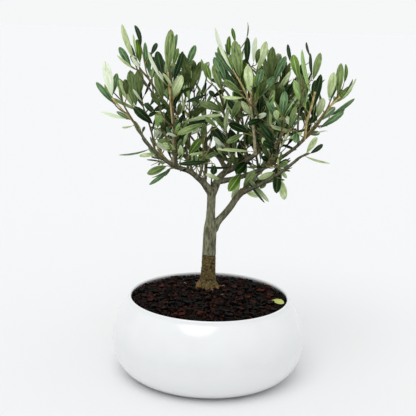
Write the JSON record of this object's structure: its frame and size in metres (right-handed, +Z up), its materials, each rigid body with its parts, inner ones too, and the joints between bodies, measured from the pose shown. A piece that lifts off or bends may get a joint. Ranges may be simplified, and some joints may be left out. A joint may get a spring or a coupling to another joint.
{
  "type": "olive bonsai in planter",
  "caption": "Small olive tree with a bare trunk, upswept boughs and an airy flat-topped crown, in a squat round glazed bowl filled with dark lava grit.",
  "frame": {"origin": "centre of the bowl's flat underside", "axes": "+Z up, +X to the right and +Y away from the viewer, seen from the front of the tree"},
  "size_m": [0.3334, 0.2888, 0.4343],
  "materials": {
    "glaze": "smooth white glaze, glossy",
    "lava_grit": "loose dark brown and black lava grit",
    "bark": "smooth grey-olive bark, rough and brown near the soil",
    "dead_wood": "dry dark dead wood",
    "foliage": "leathery olive leaves, dark above and pale below"
  },
  "bodies": {
    "root": {"bough_back": "bark", "bough_back_left": "bark", "bough_back_right": "bark", "bough_centre": "bark", "bough_centre_high": "bark", "bough_centre_mid": "bark", "bough_centre_right": "bark", "bough_far_left": "bark", "bough_front_left": "bark", "bough_front_right": "bark", "bough_left": "bark", "bough_left_back": "bark", "bough_left_front": "bark", "bough_left_high": "bark", "bough_left_inner": "bark", "bough_left_low": "bark", "bough_left_outer": "bark", "bough_left_rear": "bark", "bough_middle": "bark", "bough_right": "bark", "bough_right_back": "bark", "bough_right_high": "bark", "bough_right_inner": "bark", "bough_right_low": "bark", "bough_right_middle": "bark", "bowl": "glaze", "dead_stub": "dead_wood", "foliage_back": "foliage", "foliage_back_left": "foliage", "foliage_back_right": "foliage", "foliage_centre": "foliage", "foliage_centre_high": "foliage", "foliage_centre_mid": "foliage", "foliage_centre_right": "foliage", "foliage_far_left": "foliage", "foliage_far_right": "foliage", "foliage_front_left": "foliage", "foliage_front_right": "foliage", "foliage_left_back": "foliage", "foliage_left_front": "foliage", "foliage_left_high": "foliage", "foliage_left_inner": "foliage", "foliage_left_low": "foliage", "foliage_left_outer": "foliage", "foliage_left_rear": "foliage", "foliage_right_back": "foliage", "foliage_right_high": "foliage", "foliage_right_inner": "foliage", "foliage_right_low": "foliage", "foliage_spur_left": "foliage", "foliage_spur_low": "foliage", "foliage_spur_middle": "foliage", "foliage_spur_right": "foliage", "soil": "lava_grit", "spur_left": "bark", "spur_low": "bark", "spur_middle": "bark", "spur_right": "bark", "trunk": "bark"}
  },
  "joints": []
}
